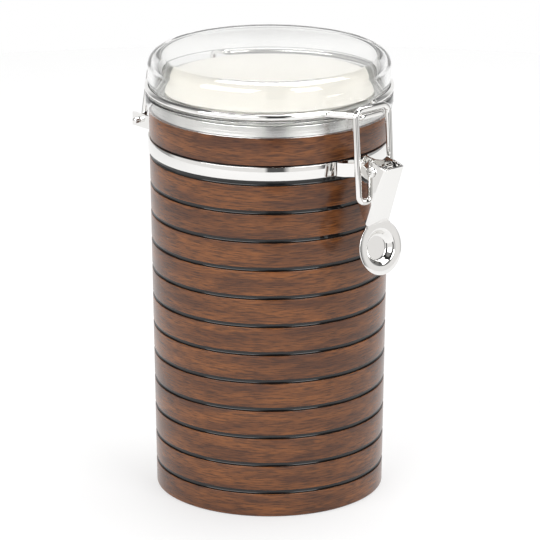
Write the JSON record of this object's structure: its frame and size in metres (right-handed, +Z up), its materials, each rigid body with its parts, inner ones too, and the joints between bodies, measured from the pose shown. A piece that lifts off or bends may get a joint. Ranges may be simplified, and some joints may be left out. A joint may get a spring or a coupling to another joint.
{
  "type": "coffee canister",
  "caption": "Tall round canister with wood-look bands over a black shell, a clear hinged lid, and a wire bail and lever clamp.",
  "frame": {"origin": "centre of the flat base, on the surface that the canister stands on", "axes": "+Z up along the can, -Y towards the latch at the front, +Y towards the hinge"},
  "size_m": [0.1224, 0.1649, 0.2211],
  "materials": {
    "walnut_foil": "satin",
    "black_gloss": "gloss",
    "chrome": "polished",
    "clear_acrylic": "polished",
    "cream_plastic": "satin",
    "silicone": "matte"
  },
  "bodies": {
    "can": {"can_shell": "black_gloss", "base_pan": "black_gloss", "wood_band_01": "walnut_foil", "wood_band_02": "walnut_foil", "wood_band_03": "walnut_foil", "wood_band_04": "walnut_foil", "wood_band_05": "walnut_foil", "wood_band_06": "walnut_foil", "wood_band_07": "walnut_foil", "wood_band_08": "walnut_foil", "wood_band_09": "walnut_foil", "wood_band_10": "walnut_foil", "wood_band_11": "walnut_foil", "wood_band_12": "walnut_foil", "wood_band_13": "walnut_foil", "clamp_strap": "chrome", "latch_bracket": "chrome", "latch_plate_rivets": "chrome", "hinge_bracket": "chrome", "hinge_plate_rivets": "chrome", "lever_pivot_rivet": "chrome"},
    "lid": {"lid_dome": "clear_acrylic", "lid_liner": "cream_plastic", "gasket": "silicone", "lid_wire": "chrome"},
    "lever": {"lever": "chrome"},
    "bail": {"bail": "chrome"}
  },
  "joints": [
    {"name": "lid_hinge", "type": "hinge", "parent": "can", "child": "lid", "pos_m": [0, 0.071, 0.17641], "axis": [-1, 0, 0], "range_deg": [0, 105]},
    {"name": "lever_pivot", "type": "hinge", "parent": "can", "child": "lever", "pos_m": [0, -0.0804, 0.17899], "axis": [-1, 0, 0], "range_deg": [0, 135]},
    {"name": "bail_swing", "type": "hinge", "parent": "lever", "child": "bail", "pos_m": [0, -0.076, 0.16329], "axis": [-1, 0, 0], "range_deg": [-150, 0]}
  ],
  "couplings": [
    {"joint": "bail_swing", "follows": "lever_pivot", "ratio": -1.11}
  ]
}
